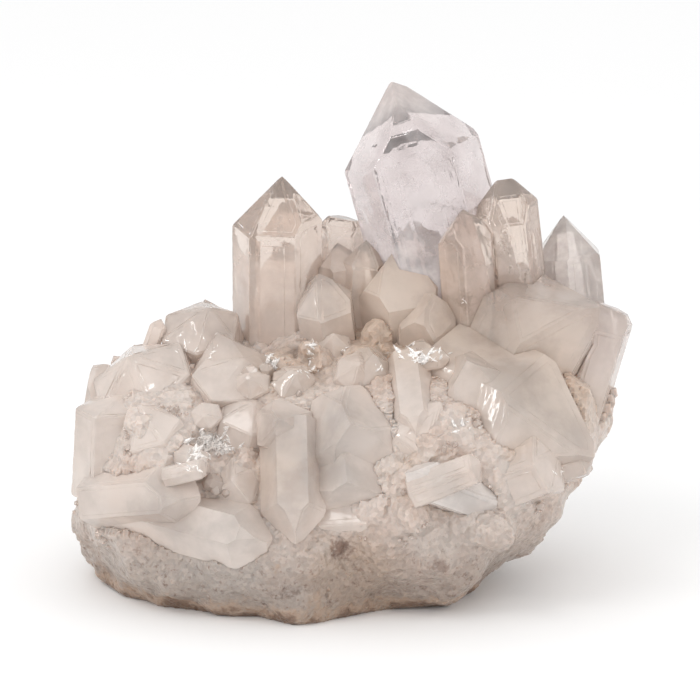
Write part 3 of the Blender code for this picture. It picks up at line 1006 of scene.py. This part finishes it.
# %% Veils, specks and painted glints


def plain_mineral(name, colour, rough):
    material, tree, shader = new_material(name)
    place = tree.nodes.new("ShaderNodeTexCoord").outputs["Object"]
    flaw = add(tree, "ShaderNodeTexNoise", Vector=place, Scale=per_mm(0.6), Detail=2.0)
    shade = add(tree, "ShaderNodeMapRange", Value=flaw.outputs["Fac"], To_Min=0.85, To_Max=1.1)
    tint = add(tree, "ShaderNodeMix", {"data_type": 'RGBA', "blend_type": 'MULTIPLY'}, i0=1.0,
               i6=linear(colour), i7=shade.outputs["Result"]).outputs[2]
    tree.links.new(tint, shader.inputs["Base Color"])
    shader.inputs["Roughness"].default_value = rough
    return material


BUBBLE_AND_GLINT_FLECKS = plain_mineral("bubble_veils_and_painted_glints", "#E9E3E2", 0.5)
SPECKS = plain_mineral("dark_mineral_specks", "#8B7F79", 0.6)
# across and down in pixels of the view, depth behind the face, width and height of the disc in
# mm, turn of the disc in degrees, flecks
MAIN_VEILS = {
    "upper_curl": (442, 160, 5.0, 7.0, 8.0, 25, 260),
    "middle_mist": (415, 175, 8.0, 9.0, 9.0, -10, 200),
    "lower_line": (428, 203, 4.0, 9.0, 1.6, 8, 180),
    "lower_arc": (450, 206, 3.0, 8.0, 1.2, -12, 130),
    "tip_flaw": (418, 100, 2.0, 3.0, 1.6, 35, 60),
    "right_edge_mist": (472, 150, 3.0, 2.6, 9.0, -15, 120),
    "root_mist": (400, 220, 3.0, 12.0, 6.0, -20, 260),
}
RIGHT_VEILS = {
    "right_mist": (566, 262, 3.0, 5.0, 8.0, 10, 140),
    "right_band": (560, 285, 3.0, 6.0, 2.0, 30, 90),
}
RIGHT_SPECKS = {"speck_line": (584, 262, 0.9, 1.4, 5.0, 5, 60)}
# white flecks in the two towers, where they show bright glints and an edge highlight: painted
# highlights
LEFT_TOWER_PAINTED_GLINTS = {
    "upright_painted_highlight": (281, 226, 0.9, 1.8, 7.5, 0, 150),
    "slanting_painted_glint": (266, 203, 0.8, 3.0, 0.8, -38, 60),
    "broken_band": (291, 250, 1.0, 3.4, 3.0, 12, 90),
}
RIGHT_TOWER_PAINTED_GLINTS = {
    "upright_painted_highlight": (505, 243, 0.9, 2.4, 13.0, 3, 200),
    "tip_painted_glint": (511, 198, 0.8, 2.6, 0.8, 20, 50),
}


def flecks_piece(name, veils, host, material, size, seed):
    """Lay flecks on wavy discs inside a crystal and join them into one piece."""
    chance = random.Random(seed)
    host_tree = tree_of(host)
    fleck = bmesh.new()
    bmesh.ops.create_cone(fleck, cap_ends=True, segments=4, radius1=0.5, radius2=0.3, depth=0.4)
    master = bpy.data.meshes.new("fleck")
    fleck.to_mesh(master)
    fleck.free()
    joined = bmesh.new()
    for across, down, depth, width, height, turn, count in veils.values():
        face_place, _ = seen_at(across, down, host_tree)
        middle = face_place - back * depth * MM
        turned = Matrix.Rotation(math.radians(turn), 4, back)
        for _ in range(count):
            aside = chance.gauss(0.0, 0.3) * width
            above = chance.gauss(0.0, 0.3) * height
            wave = noise.noise(Vector((aside / 2.5, above / 2.5, turn))) * 2.4
            place = middle + turned @ (view_right * aside + view_up * above + back * wave) * MM
            near, normal, _, away = host_tree.find_nearest(place)
            if (place - near).dot(normal) > 0.0 or away < 0.4 * MM:
                continue
            long = size * chance.uniform(0.5, 1.4) * MM
            mesh = master.copy()
            mesh.transform(Matrix.Translation(place)
                           @ Matrix.Rotation(chance.uniform(0.0, 3.0), 4,
                                             Vector((chance.gauss(0, 1), chance.gauss(0, 1), 0.2)))
                           @ Matrix.Diagonal((long, long * 0.5, long * 0.3, 1.0)))
            joined.from_mesh(mesh)
            bpy.data.meshes.remove(mesh)
    print(name, "faces:", len(joined.faces))
    return piece_from(joined, name, material, "clear_quartz")


flecks_piece("main_point_veils", MAIN_VEILS, "main_point", BUBBLE_AND_GLINT_FLECKS, 0.34, 31)
flecks_piece("right_point_veils", RIGHT_VEILS, "far_right_point", BUBBLE_AND_GLINT_FLECKS, 0.3, 32)
# painted highlights in the towers, made of the same white flecks
flecks_piece("left_tower_painted_glints", LEFT_TOWER_PAINTED_GLINTS, "left_tower", BUBBLE_AND_GLINT_FLECKS, 0.4, 34)
flecks_piece("right_tower_painted_glints", RIGHT_TOWER_PAINTED_GLINTS, "right_tower", BUBBLE_AND_GLINT_FLECKS, 0.4, 35)
flecks_piece("right_point_specks", RIGHT_SPECKS, "far_right_point", SPECKS, 0.6, 33)

# %% [markdown]
# ## Studio
#
# The cluster stands on a plain pale floor in soft, even light, so that the milky stone glows and
# only its faces throw small glints.

# %% Floor and light
FLOOR_SIZE = 12.0


def floor():
    bm = bmesh.new()
    bmesh.ops.create_grid(bm, x_segments=1, y_segments=1, size=FLOOR_SIZE / 2)
    mesh = bpy.data.meshes.new("studio_floor")
    bm.to_mesh(mesh)
    bm.free()
    piece = bpy.data.objects.new("studio_floor", mesh)
    bpy.context.scene.collection.objects.link(piece)
    material, tree, shader = new_material("pale_paper")
    shader.inputs["Base Color"].default_value = linear("#FBFBFB")
    shader.inputs["Roughness"].default_value = 0.9
    shader.inputs["Specular IOR Level"].default_value = 0.1
    mesh.materials.append(material)
    return piece


def soft_light(name, place, aim, size, power, colour=(1.0, 1.0, 1.0)):
    data = bpy.data.lights.new(name, 'AREA')
    data.shape = 'RECTANGLE'
    data.size = size[0]
    data.size_y = size[1]
    data.energy = power
    data.color = colour
    lamp = bpy.data.objects.new(name, data)
    lamp.location = place
    lamp.rotation_euler = (Vector(aim) - Vector(place)).to_track_quat('-Z', 'Y').to_euler()
    bpy.context.scene.collection.objects.link(lamp)
    return lamp


floor()
world = bpy.context.scene.world or bpy.data.worlds.new("Studio")
bpy.context.scene.world = world
world.use_nodes = True
world.node_tree.nodes["Background"].inputs["Color"].default_value = (1.0, 1.0, 1.0, 1.0)
world.node_tree.nodes["Background"].inputs["Strength"].default_value = 1.0
CLUSTER_MIDDLE = (0.0, 0.0, 0.05)
soft_light("overhead_softbox", (-0.35, -0.3, 0.7), CLUSTER_MIDDLE, (0.4, 0.2), 0.8)
soft_light("left_strip", (-0.6, -0.35, 0.25), CLUSTER_MIDDLE, (0.02, 0.4), 0.4)
soft_light("right_strip", (0.65, -0.3, 0.3), CLUSTER_MIDDLE, (0.02, 0.3), 0.25)
soft_light("front_strip", (-0.1, -0.6, 0.5), CLUSTER_MIDDLE, (0.4, 0.02), 0.3)
bpy.context.scene.view_settings.view_transform = 'Standard'
